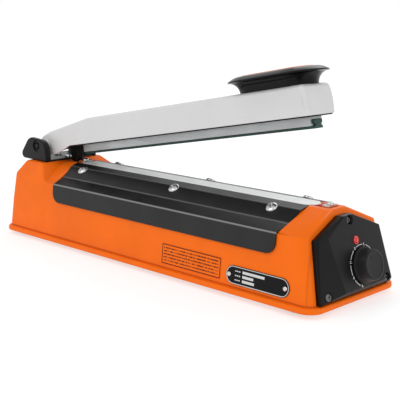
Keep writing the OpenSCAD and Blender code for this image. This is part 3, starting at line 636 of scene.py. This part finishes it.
def pan_head(radius, height, shank, length):
    """Template of a pan head screw with a tapered cross recess, standing on local Z."""
    bm = bmesh.new()
    rim = 0.28 * height
    dome = arc(0, rim, 1, 0, 90, 8)
    profile = [(shank, 0), (radius * 0.985, 0), (radius, 0.12 * height)]
    profile += [(radius * (0.3 + 0.7 * c), rim + (height - rim) * (s - rim)) for c, s in dome]
    profile += [(0, height)]
    lathe(bm, [(0, -length), (shank * 0.8, -length), (shank, -length + 0.3)] + profile, 40)
    head = from_bmesh("pan_head_template", bm)
    bm = bmesh.new()
    half, arm = radius * 0.1, radius * 0.62
    outline = []
    for quarter in range(4):
        c, s = math.cos(quarter * math.pi / 2), math.sin(quarter * math.pi / 2)
        for x, y in ((arm, -half), (arm, half), (half * 1.4, half * 1.4)):
            outline.append((x * c - y * s, x * s + y * c))
    levels = [(height - 1.25, 0.4), (height - 0.6, 0.8), (height + 0.5, 1.1)]
    rings = [[bm.verts.new((x * k, y * k, z)) for x, y in outline] for z, k in levels]
    skin(bm, rings[0], rings[1])
    skin(bm, rings[1], rings[2])
    bm.faces.new(rings[0])
    bm.faces.new(rings[2])
    cutter = from_bmesh("cross_cutter", bm)
    cut = head.modifiers.new("cut", "BOOLEAN")
    cut.operation = "DIFFERENCE"
    cut.object = cutter
    cut.solver = "EXACT"
    settle(head)
    bpy.data.objects.remove(cutter)
    return head


# ---------------------------------------------------------------- base
def rounded_box_inset(p, x0, x1, half, radius):
    """How far inside a rounded rectangle a point is; 0 on its outline."""
    dx = abs(p.x - (x0 + x1) / 2) - (x1 - x0) / 2 + radius
    dy = abs(p.y) - half + radius
    outside = math.hypot(max(dx, 0), max(dy, 0))
    return radius - outside - min(max(dx, dy), 0)


def build_housing(settings):
    bm = cad_copy("housing")

    def lip(p, edge):
        return 6.4 < p.z < 6.6 and abs(rounded_box_inset(p, 0, 300, 43, 10)) < 0.2

    def toe(p, edge):
        return 2.9 < p.z < 3.1 and abs(rounded_box_inset(p, 0, 300, 43, 10)) < 0.2

    def crown(p, edge):
        if p.z < 7 or not edge.is_convex or 47.6 < p.x < 272:
            return False
        if p.x < 47.6 and abs(p.y) < 5.2 and p.z > 40:
            return False
        if p.x < 8 and math.hypot(p.y - 16, p.z - 22) < 6:
            return False
        if p.x > 272 and (abs(p.y) < 7.4 or p.x > 285):
            return False
        return min(math.hypot(p.x - 17, abs(p.y) - 30), 99) > 4.5

    soften(bm, BASE, lip, settings.lip_round / MM, 4)
    soften(bm, BASE, toe, 0.5, 2)
    soften(bm, BASE, crown, settings.crown_round / MM, 4)
    piece(42, "housing_moulding", "base", "housing_shell", bm, nodes=("housing",))


def build_side_plate(side, settings):
    """One folded side plate: a grid over its bent section, cut askew at the left end."""
    line = rounded_line(PLATE_LINE, settings.bend_radius / MM, 5)
    foot_y = PLATE_LINE[-1][0]
    corner_z = PLATE_LOW + FLAP_CORNER
    heights = [corner_z + 2, corner_z]
    heights += [corner_z - FLAP_CORNER * math.sin(math.radians(a)) for a in range(8, 88, 8)] + [PLATE_LOW]
    flap = [Vector((foot_y - (z - PLATE_LOW) * FLAP_LEAN, z)) for z in heights]
    points = [p for p in line[:-1] if p.y > 42.5] + flap
    bm = bmesh.new()
    rows = []
    for p in points:
        below = max(0, corner_z - p.y)
        inset = FLAP_CORNER - math.sqrt(max(0, FLAP_CORNER ** 2 - below ** 2))
        left = 49 + max(0, min(1, (p.x - 7) / 29.6)) * 9.5 + inset
        right = 268.7 - inset
        rows.append([bm.verts.new((left + (right - left) * i / 24, side * p.x, p.y)) for i in range(25)])
    grid_faces(bm, rows)
    thing = from_bmesh("side_plate_" + ("front" if side < 0 else "rear"), bm, BASE)
    # The drawn grid is the outer face: the sheet grows inwards
    middle = thing.data.polygons[0]
    if middle.normal.z < 0:
        thing.data.flip_normals()
    thick = thing.modifiers.new("thick", "SOLIDIFY")
    thick.thickness = 1.0 * MM
    thick.offset = -1
    thick.use_even_offset = True
    settle(thing)
    round_edges(thing, 0.22, 2, 50)
    shade(thing, 40)
    node = "front_side_plate" if side < 0 else "rear_side_plate"
    dress(thing, "plate_sheet", "base", nodes=(node,))


def build_feet():
    bm = bmesh.new()
    profile = [(1.7, 1.2), (3.4, 1.2), (3.6, 0.9), (3.6, 0.15), (3.8, 0)]
    profile += [(5.6, 0)] + arc(5.6, 0.8, 0.8, -90, 0, 4) + [(6.75, 2.4), (7, 3.2), (1.7, 3.2), (1.7, 1.2)]
    for x in (17, 281):
        for y in (-30, 30):
            lathe(bm, profile, 40, move(x, y, 0))
    bmesh.ops.remove_doubles(bm, verts=bm.verts, dist=0.001)
    piece(35, "foot_rubber", "base", "feet_soft", bm, BASE, nodes=("rubber_feet",))


# ---------------------------------------------------------------- sealing line
def build_seal_cover():
    """Film over the ribbon: flat, with a low ridge where the ribbon lies under it."""
    heights = [(7.0, -0.25), (7.0, -0.04), (6.7, -0.015), (2.4, -0.01), (1.9, 0.0), (1.45, 0.13), (0.7, 0.15)]
    section = [(-y, z) for y, z in heights] + [(0, 0.155)] + [(y, z) for y, z in reversed(heights)]
    start, end, half, height, tip_steps = 53.2, 263.8, 7.0, 56.2, 12
    bm = bmesh.new()
    rows = []
    for i in range(41):
        rows.append([bm.verts.new((start + (end - start) * i / 40, y, height + z)) for y, z in section])
    for i in range(1, tip_steps + 1):
        reach = [math.sqrt(half * half - y * y) * i / tip_steps for y, _ in section]
        rows.append([bm.verts.new((end + r, y, height + z)) for r, (y, z) in zip(reach, section)])
    grid_faces(bm, rows)
    edges = [e for e in bm.edges if e.is_boundary]
    lower = bmesh.ops.extrude_edge_only(bm, edges=edges)["geom"]
    for v in lower:
        if isinstance(v, bmesh.types.BMVert):
            v.co.z = height - 0.1
    bmesh.ops.contextual_create(bm, geom=[e for e in bm.edges if e.is_boundary])
    bmesh.ops.remove_doubles(bm, verts=bm.verts, dist=0.0005)
    piece(60, "ptfe_film", "base", "seal_cover", bm, BASE, nodes=("ptfe_cover",))


# ---------------------------------------------------------------- hinge
def build_spring():
    """Opening spring: close coils round the pin and one leg down to the bracket."""
    coil, turns, pitch, steps = 4.6, 8, 1.4, 28
    first_y = pitch * turns / 2
    points = []
    for i in range(turns * steps + 1):
        a = math.tau * i / steps
        y = first_y - pitch * i / steps
        points.append((HINGE_X + coil * math.sin(a), y, HINGE_Z - coil * math.cos(a)))
    leg_turn, leg_length = math.radians(-108), 12
    leg = [(HINGE_X + math.sin(leg_turn) * i, first_y, HINGE_Z - coil + math.cos(leg_turn) * i)
           for i in range(leg_length, 0, -1)]
    path = [(BASE @ Vector(p)) * MM for p in leg + points]
    mesh = bpy.data.meshes.new("spring_path")
    mesh.from_pydata(path, [(i, i + 1) for i in range(len(path) - 1)], [])
    thing = new_object("spring_wire", mesh)
    run_tree(thing, "wire", Radius=0.7 * MM, Sides=14, Material=finish("bright_steel"))
    shade(thing, 50)
    dress(thing, "bright_steel", "base", nodes=("return_spring",))


def build_hinge_cap(node):
    bm = cad_copy(node)
    side = -1 if node.endswith("front") else 1

    def on_face(p):
        return abs(abs(p.y) - CAP_FACE_Y) < 0.1

    def near_eye(p):
        return math.hypot(p.x - HINGE_X, p.z - HINGE_Z) < 4.6

    soften(bm, BASE, lambda p, edge: on_face(p) and not near_eye(p), 1.1, 4)
    soften(bm, BASE, lambda p, edge: on_face(p) and near_eye(p), 0.5, 3)
    face = BASE @ move(HINGE_X, side * (CAP_FACE_Y - 0.5), HINGE_Z) @ turn(-side * math.pi / 2, "X")
    dish = [(0, 0.0), (1.5, 0.0), (1.7, -0.1), (1.9, -0.5), (4.3, -0.5), (4.3, -0.9), (0, -0.9)]
    lathe(bm, dish, 40, face)
    piece(42, "black_moulding", "base", node + "_shell", bm, nodes=(node,))


# ---------------------------------------------------------------- arm
ARM_RIM = -2.85
ARM_OUTLINE = [(-6, 0), (-2, 7.4), (4, 9.6), (50, ARM_TOP), (252, ARM_TOP), (255, ARM_RIM)]


def outline_gap(x, z):
    """Distance from the arm's side outline."""
    best = 99.0
    p = Vector((x, z))
    for a, b in zip(ARM_OUTLINE, ARM_OUTLINE[1:]):
        a, b = Vector(a), Vector(b)
        t = max(0, min(1, (p - a).dot(b - a) / (b - a).length_squared))
        best = min(best, (a + (b - a) * t - p).length)
    return best


def build_arm_channel(settings):
    bm = cad_copy("arm_channel")

    def shoulder(p, edge):
        outer = outline_gap(p.x, p.z) < 0.25 and p.z > 8.2
        near_hole = abs(p.y) < 3 and p.x < 240
        return edge.is_convex and outer and not near_hole

    def hem(p, edge):
        return abs(p.z - ARM_RIM) < 0.1 and p.x > 26

    soften(bm, ARM, shoulder, settings.arm_round / MM, 5, 12)
    soften(bm, ARM, hem, 0.25, 2, 40)
    piece(40, "arm_paint", "arm", "arm_shell", bm, nodes=("arm_channel",))


def build_handle():
    """Oblong grip: a concave neck flaring to a thin rolled rim, with a domed inlay."""
    turns = [math.radians(a) for a in range(0, 88, 6)]
    flare = [(12 + 7 * (1 - math.cos(a)), 7 * math.sin(a)) for a in turns]
    rim = [(18.85, 7.0), (19.0, 7.2), (19.0, 7.55), (18.8, 7.85), (18.3, 8.15)]
    crown = [(17.2, 8.75), (16.0, 9.4), (14.6, 9.95), (13.0, 10.3), (11.6, 10.45), (11.2, 10.4),
             (11.05, 10.2), (10.95, 9.2)]
    seat = ARM @ move(HANDLE_X, 0, ARM_TOP)
    bm = bmesh.new()
    oblong(bm, flare + rim + crown, 15.5, 28)
    piece(50, "handle_moulding", "arm", "handle_grip", bm, seat, nodes=("handle",))
    bm = bmesh.new()
    dome = [(10.6, 9.1), (10.6, 10.3), (10.35, 10.62), (9.6, 10.8), (7.5, 10.95), (5.0, 11.0), (1.0, 11.0)]
    oblong(bm, dome, 15.5, 28)
    piece(50, "orange_inlay", "arm", "handle_insert", bm, seat, nodes=("handle_inlay",))


# ---------------------------------------------------------------- end panel
def build_end_cover():
    bm = cad_copy("end_cover")

    def ridges(p, edge):
        if p.x < -1.2 or not edge.is_convex:
            return False
        holes = [(DIAL, 5.2), (LAMP, 3.1)] + [(s, 3.4) for s in COVER_SCREWS]
        return all(math.hypot(p.y - c[0], p.z - c[1]) > r for c, r in holes)

    soften(bm, PANEL, ridges, 0.5, 3, 5)
    piece(42, "cover_moulding", "base", "end_cover_shell", bm, nodes=("end_cover",))


def build_knob():
    """Turned knob: thin skirt, drafted grip with a rounded shoulder, and a raised pointer."""
    bm = bmesh.new()
    skirt = [(3.1, 0), (10.7, 0)] + arc(10.6, 0.4, 0.4, -90, 0, 3) + arc(10.5, 1.1, 0.5, 0, 90, 4)
    grip = [(10.2, 1.65), (10.05, 1.9), (9.95, 2.3)] + arc(8.3, 7.1, 0.9, 8, 90, 6)
    face = [(7.6, 8.0), (7.3, 7.9), (6.9, 7.75), (0, 7.75)]
    lathe(bm, skirt + grip + face, 72)
    place = DIAL_FRAME @ move(0, 0, KNOB_BACK)
    piece(40, "knob_moulding", "dial", "knob_turned", bm, place, nodes=("timer_knob",))
    bm = bmesh.new()
    prism(bm, [(2.6, -0.4), (6.6, -0.4), (6.6, 0.4), (2.6, 0.4)], 7.7, 7.8)
    dress(from_bmesh("knob_pointer", bm, place @ turn(POINTER_TURN, "Z")), "knob_moulding", "dial")


def build_dial_print():
    """Scale round the knob: an arc broken into dashes, with a generic letter at every break."""
    bm = bmesh.new()
    letters = "ABCDEF"
    first, step, radius = -20.0, -44.0, 12.3
    for i in range(len(letters) - 1):
        low, high = first + step * i - 8.0, first + step * (i + 1) + 8.0
        inner = arc(0, 0, radius - 0.17, low, high, 14)
        outer = arc(0, 0, radius + 0.17, low, high, 14)
        prism(bm, inner + list(reversed(outer)), COVER_FACE - 0.04, COVER_FACE + 0.08, DIAL_FRAME)
    dress(from_bmesh("dial_scale", bm), "dial_ink", "base")
    pieces = []
    for i, letter in enumerate(letters):
        angle = math.radians(first + step * i)
        curve = bpy.data.curves.new("dial_letter", "FONT")
        curve.body = letter
        curve.size = 2.2
        curve.align_x = "CENTER"
        curve.align_y = "CENTER"
        curve.extrude = 0.06
        source = new_object("dial_letter", curve)
        mesh = bpy.data.meshes.new_from_object(source)
        bpy.data.objects.remove(source)
        spot = move(radius * math.cos(angle), radius * math.sin(angle), COVER_FACE + 0.02)
        mesh.transform(TO_METRES @ DIAL_FRAME @ spot @ turn(math.pi / 2, "Z"))
        pieces.append(mesh)
    bm = bmesh.new()
    for mesh in pieces:
        bm.from_mesh(mesh)
        bpy.data.meshes.remove(mesh)
    bmesh.ops.recalc_face_normals(bm, faces=bm.faces)
    mesh = bpy.data.meshes.new("dial_letters")
    bm.to_mesh(mesh)
    bm.free()
    dress(new_object("dial_letters", mesh), "dial_ink", "base")


def build_lamp():
    bm = bmesh.new()
    side = [(0, 0.1), (2.5, 0.1), (2.5, 4.0), (2.42, 4.35)]
    lathe(bm, side + arc(0, 1.75, 3.05, 52, 88, 6) + [(0, 4.8)], 40)
    piece(50, "red_lens", "base", "lamp_dome", bm, LAMP_FRAME, nodes=("lamp_lens",))


# ---------------------------------------------------------------- plates and labels
def build_name_plate():
    place = front_wall(256.8, 14.3)
    bm = bmesh.new()
    oblong(bm, [(5.6, 0.05), (5.7, 0.15), (5.7, 0.45), (5.6, 0.55), (5.2, 0.55), (0.5, 0.55)], 18.6, 20)
    piece(40, "plate_enamel", "base", "name_plate_body", bm, place, nodes=("name_plate",))
    bm = bmesh.new()
    rings = oblong(bm, [(5.4, 0.5), (5.36, 0.64), (5.0, 0.66), (4.85, 0.5)], 18.6, 20, (False, False))
    skin(bm, rings[-1], rings[0])
    for i, length in enumerate((17.0, 8.6, 9.4)):
        y = 2.7 - 2.7 * i
        prism(bm, [(-11.2, y - 0.8), (-11.2 + length, y - 0.8), (-11.2 + length, y + 0.8), (-11.2, y + 0.8)],
              0.5, 0.62)
        for x in (-17.0, -15.5, -14.0):
            prism(bm, [(x, y - 0.35), (x + 1.1, y - 0.35), (x + 1.1, y + 0.35), (x, y + 0.35)], 0.5, 0.6)
    piece(40, "bright_steel", "base", "name_plate_trim", bm, place)


def build_label():
    """Printed label on the front wall, with its own print map."""
    place = front_wall(201.6, 15.9)
    bm = bmesh.new()
    prism(bm, [(-26, -6.7), (26, -6.7), (26, 6.7), (-26, 6.7)], 0.05, 0.2)
    back = (TO_METRES @ place).inverted()
    thing = from_bmesh("label_sheet", bm, place)
    uv = thing.data.uv_layers.new(name="print")
    for loop in thing.data.loops:
        p = back @ thing.data.vertices[loop.vertex_index].co
        uv.data[loop.index].uv = (p.x / 100, p.y / 100)
    dress(thing, "label_print", "base", nodes=("instruction_label",))


# ---------------------------------------------------------------- fixings and inner parts
def build_fixings(seed):
    """Sets every visible screw and rivet."""
    def place_all(node, head, spots, material="bright_steel"):
        thing = scatter(node + "_set", head, spots, material, seed)
        bpy.data.objects.remove(head)
        dress(thing, material, "base", nodes=(node,))

    for node, side in (("front_plate_screws", -1), ("rear_plate_screws", 1)):
        place_all(node, pan_head(3.8, 2.0, 1.5, 7), [on_plate(x, side) for x in PLATE_SCREW_X])
    place_all("clamp_screws", pan_head(2.3, 1.5, 1.05, 1.2), [BASE @ move(x, 0, 57.3) for x in CLAMP_X])
    cover = [PANEL @ move(1.3, y, z) @ turn(math.pi / 2, "Y") for y, z in COVER_SCREWS]
    place_all("cover_screws", pan_head(2.5, 1.5, 1.25, 7), cover, "cover_screw_steel")
    bm = bmesh.new()
    shank = [(0, -3), (1, -3), (1, 0.66), (1.5, 0.66), (1.5, 0.8)]
    lathe(bm, shank + arc(0.7, 0.8, 0.75, 10, 80, 5) + [(0, 1.3)], 28)
    place_all("plate_rivets", from_bmesh("rivet_template", bm), [front_wall(x, 14.3) for x in RIVET_X])


INNER_PARTS = {
    "bright_steel": ("foot_screws", "bracket_screws", "handle_screws", "control_nut", "knob_shaft",
                     "transformer_screws", "switch_screws"),
    "grey_moulding": ("lamp_body", "board_posts"),
    "black_moulding": ("micro_switch", "cord_gland", "gland_nut"),
    "zinc_sheet": ("timer_control",),
    "board_laminate": ("timer_board",),
    "core_steel": ("transformer_core",),
    "coil_varnish": ("transformer_coil",),
    "red_sleeve": ("switch_button",),
}


def finish_inside():
    """Gives their finish to the parts that stay as the CAD drew them."""
    for material, nodes in INNER_PARTS.items():
        for node in nodes:
            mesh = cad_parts[node].data
            mesh.materials.clear()
            mesh.materials.append(finish(material))


# ---------------------------------------------------------------- stage
def build_stage():
    scene = bpy.context.scene
    scene.view_settings.view_transform = "Standard"
    bm = bmesh.new()
    rows = []
    for i in range(9):
        rows.append([bm.verts.new((-9000 + 2250 * i, -9000 + 2250 * j, 0)) for j in range(9)])
    grid_faces(bm, rows)
    floor = from_bmesh("stage_floor", bm)
    floor.data.materials.append(finish("stage_floor"))
    world = bpy.data.worlds.new("pale_room")
    world.use_nodes = True
    # The camera sees a white room; the object is lit by a dimmer one
    tree = world.node_tree
    seen = tree.nodes.new("ShaderNodeLightPath").outputs["Is Camera Ray"]
    strength = remap(tree, seen, 0.0, 1.0, 0.88, 1.0)
    feed(tree, tree.nodes["Background"], {"Color": (1, 1, 1, 1), "Strength": strength})
    scene.world = world
    lights = (
        ("key_light", (-0.35, -1.1, 1.25), (0.0, 0.0, 0.05), 0.7, 4.0),
        ("side_light", (1.5, -0.1, 0.8), (0.05, 0.0, 0.05), 0.6, 2.0),
        ("back_light", (-0.6, 1.2, 1.1), (0.0, 0.0, 0.05), 0.8, 3.0),
    )
    for name, spot, aim, size, power in lights:
        lamp = bpy.data.lights.new(name, "AREA")
        lamp.size = size
        lamp.energy = power
        thing = new_object(name, lamp)
        thing.location = spot
        thing.rotation_euler = (Vector(aim) - Vector(spot)).to_track_quat("-Z", "Y").to_euler()
    lens = bpy.data.cameras.new("camera")
    lens.sensor_width = 36
    lens.lens = 81.305
    camera = new_object("camera", lens)
    camera.location = (0.432916, -0.422684, 0.168464)
    camera.rotation_euler = (math.radians(90 - 11.853), 0, math.radians(44.527))
    scene.camera = camera


# ---------------------------------------------------------------- settings and operators
class SealerSettings(bpy.types.PropertyGroup):
    """Sizes and colours that a user would change."""
    lip_round: FloatProperty(name="Flange lip", description="Rounding of the flange's upper edge",
                             default=0.0015, min=0.0005, max=0.0022, unit="LENGTH")
    crown_round: FloatProperty(name="Housing edges", description="Rounding of the housing's edges",
                               default=0.0012, min=0.0004, max=0.0016, unit="LENGTH")
    arm_round: FloatProperty(name="Arm edges", description="Rounding of the arm's folded edges",
                             default=0.0024, min=0.0008, max=0.0028, unit="LENGTH")
    bend_radius: FloatProperty(name="Plate bends", description="Outer radius of the side plates' bends",
                               default=0.0016, min=0.0006, max=0.0025, unit="LENGTH")
    grain: FloatProperty(name="Grain", description="Strength of the moulded grain",
                         default=0.18, min=0, max=1, subtype="FACTOR")
    housing_colour: FloatVectorProperty(name="Housing colour", description="Colour of the housing and insert",
                                        default=srgb(238, 106, 10), size=4, min=0, max=1, subtype="COLOR")
    arm_colour: FloatVectorProperty(name="Arm colour", description="Colour of the arm's enamel",
                                    default=grey(205), size=4, min=0, max=1, subtype="COLOR")
    seed: IntProperty(name="Screw seed", description="Seed of the screws' turn", default=7, min=0)


class SEALER_OT_materials(bpy.types.Operator):
    """Makes the finishes and the node trees that the other steps use"""
    bl_idname = "sealer.materials"
    bl_label = "Finishes"

    def execute(self, context):
        make_materials(context.scene.sealer)
        make_trees()
        return {"FINISHED"}


class SEALER_OT_base(bpy.types.Operator):
    """Builds the housing shell, side plates, feet and bottom plate"""
    bl_idname = "sealer.base"
    bl_label = "Base"

    def execute(self, context):
        build_housing(context.scene.sealer)
        build_side_plate(-1, context.scene.sealer)
        build_side_plate(1, context.scene.sealer)
        build_feet()
        soft_node("bottom_plate", "zinc_sheet", "base", 0.2)
        return {"FINISHED"}


class SEALER_OT_seal(bpy.types.Operator):
    """Builds the sealing line with its film, ribbon and clamps"""
    bl_idname = "sealer.seal"
    bl_label = "Sealing line"

    def execute(self, context):
        build_seal_cover()
        soft_node("sealing_bar", "bar_aluminium", "base", 0.2)
        soft_node("insulation_strip", "glass_cloth", "base", 0.05)
        soft_node("heating_ribbon", "ribbon_alloy", "base", 0.04)
        soft_node("ribbon_clamps", "bright_steel", "base", 0.25)
        soft_node("clamp_sleeves", "red_sleeve", "base", 0.15)
        return {"FINISHED"}


class SEALER_OT_hinge(bpy.types.Operator):
    """Builds the hinge with its caps, bracket, pin and spring"""
    bl_idname = "sealer.hinge"
    bl_label = "Hinge"

    def execute(self, context):
        build_hinge_cap("hinge_cap_front")
        build_hinge_cap("hinge_cap_rear")
        build_spring()
        soft_node("hinge_bracket", "black_sheet", "base", 0.25)
        soft_node("hinge_pin", "bright_steel", "base", 0.3)
        soft_node("pin_clips", "bright_steel", "base", 0.12)
        soft_node("hinge_bushes", "bush_nylon", "arm", 0.15)
        return {"FINISHED"}


class SEALER_OT_arm(bpy.types.Operator):
    """Builds the arm with its liner, pressing bar, rubber and switch leg"""
    bl_idname = "sealer.arm"
    bl_label = "Arm"

    def execute(self, context):
        build_arm_channel(context.scene.sealer)
        soft_node("arm_liner", "black_moulding", "arm", 0.2)
        soft_node("pressing_bar", "bar_aluminium", "arm", 0.25)
        soft_node("rubber_strip", "silicone_rubber", "arm", 0.35, 3)
        soft_node("bar_brackets", "black_sheet", "arm", 0.4)
        soft_node("bar_studs", "bright_steel", "arm", 0.25)
        soft_node("switch_leg", "black_moulding", "arm", 0.4)
        return {"FINISHED"}


class SEALER_OT_handle(bpy.types.Operator):
    """Builds the handle and its coloured insert"""
    bl_idname = "sealer.handle"
    bl_label = "Handle"

    def execute(self, context):
        build_handle()
        return {"FINISHED"}


class SEALER_OT_panel_end(bpy.types.Operator):
    """Builds the end panel with its cover, knob, lamp and scale"""
    bl_idname = "sealer.panel_end"
    bl_label = "End panel"

    def execute(self, context):
        build_end_cover()
        build_knob()
        build_lamp()
        build_dial_print()
        return {"FINISHED"}


class SEALER_OT_labels(bpy.types.Operator):
    """Builds the name plate and the printed label on the front wall"""
    bl_idname = "sealer.labels"
    bl_label = "Plates and labels"

    def execute(self, context):
        build_name_plate()
        build_label()
        return {"FINISHED"}


class SEALER_OT_fixings(bpy.types.Operator):
    """Sets every visible screw and rivet"""
    bl_idname = "sealer.fixings"
    bl_label = "Screws and rivets"

    def execute(self, context):
        build_fixings(context.scene.sealer.seed)
        return {"FINISHED"}


class SEALER_OT_inside(bpy.types.Operator):
    """Finishes the parts that stay as the CAD drew them"""
    bl_idname = "sealer.inside"
    bl_label = "Inner parts"

    def execute(self, context):
        finish_inside()
        return {"FINISHED"}


class SEALER_OT_stage(bpy.types.Operator):
    """Sets the floor, the lights and the camera"""
    bl_idname = "sealer.stage"
    bl_label = "Stage"

    def execute(self, context):
        build_stage()
        return {"FINISHED"}


STEPS = (SEALER_OT_materials, SEALER_OT_base, SEALER_OT_seal, SEALER_OT_hinge, SEALER_OT_arm,
         SEALER_OT_handle, SEALER_OT_panel_end, SEALER_OT_labels, SEALER_OT_fixings,
         SEALER_OT_inside, SEALER_OT_stage)


class SEALER_PT_steps(bpy.types.Panel):
    """Lists the sealer's sizes and building steps"""
    bl_idname = "SEALER_PT_steps"
    bl_label = "Impulse heat sealer"
    bl_space_type = "VIEW_3D"
    bl_region_type = "UI"
    bl_category = "Sealer"

    def draw(self, context):
        for name in SealerSettings.__annotations__:
            self.layout.prop(context.scene.sealer, name)
        for step in STEPS:
            self.layout.operator(step.bl_idname)


CLASSES = (SealerSettings,) + STEPS + (SEALER_PT_steps,)


def register():
    for cls in CLASSES:
        bpy.utils.register_class(cls)
    bpy.types.Scene.sealer = PointerProperty(type=SealerSettings)


def unregister():
    del bpy.types.Scene.sealer
    for cls in reversed(CLASSES):
        bpy.utils.unregister_class(cls)


def main():
    register()
    bpy.ops.sealer.materials()
    bpy.ops.sealer.base()
    bpy.ops.sealer.seal()
    bpy.ops.sealer.hinge()
    bpy.ops.sealer.arm()
    bpy.ops.sealer.handle()
    bpy.ops.sealer.panel_end()
    bpy.ops.sealer.labels()
    bpy.ops.sealer.fixings()
    bpy.ops.sealer.inside()
    bpy.ops.sealer.stage()


if __name__ == "__main__":
    main()
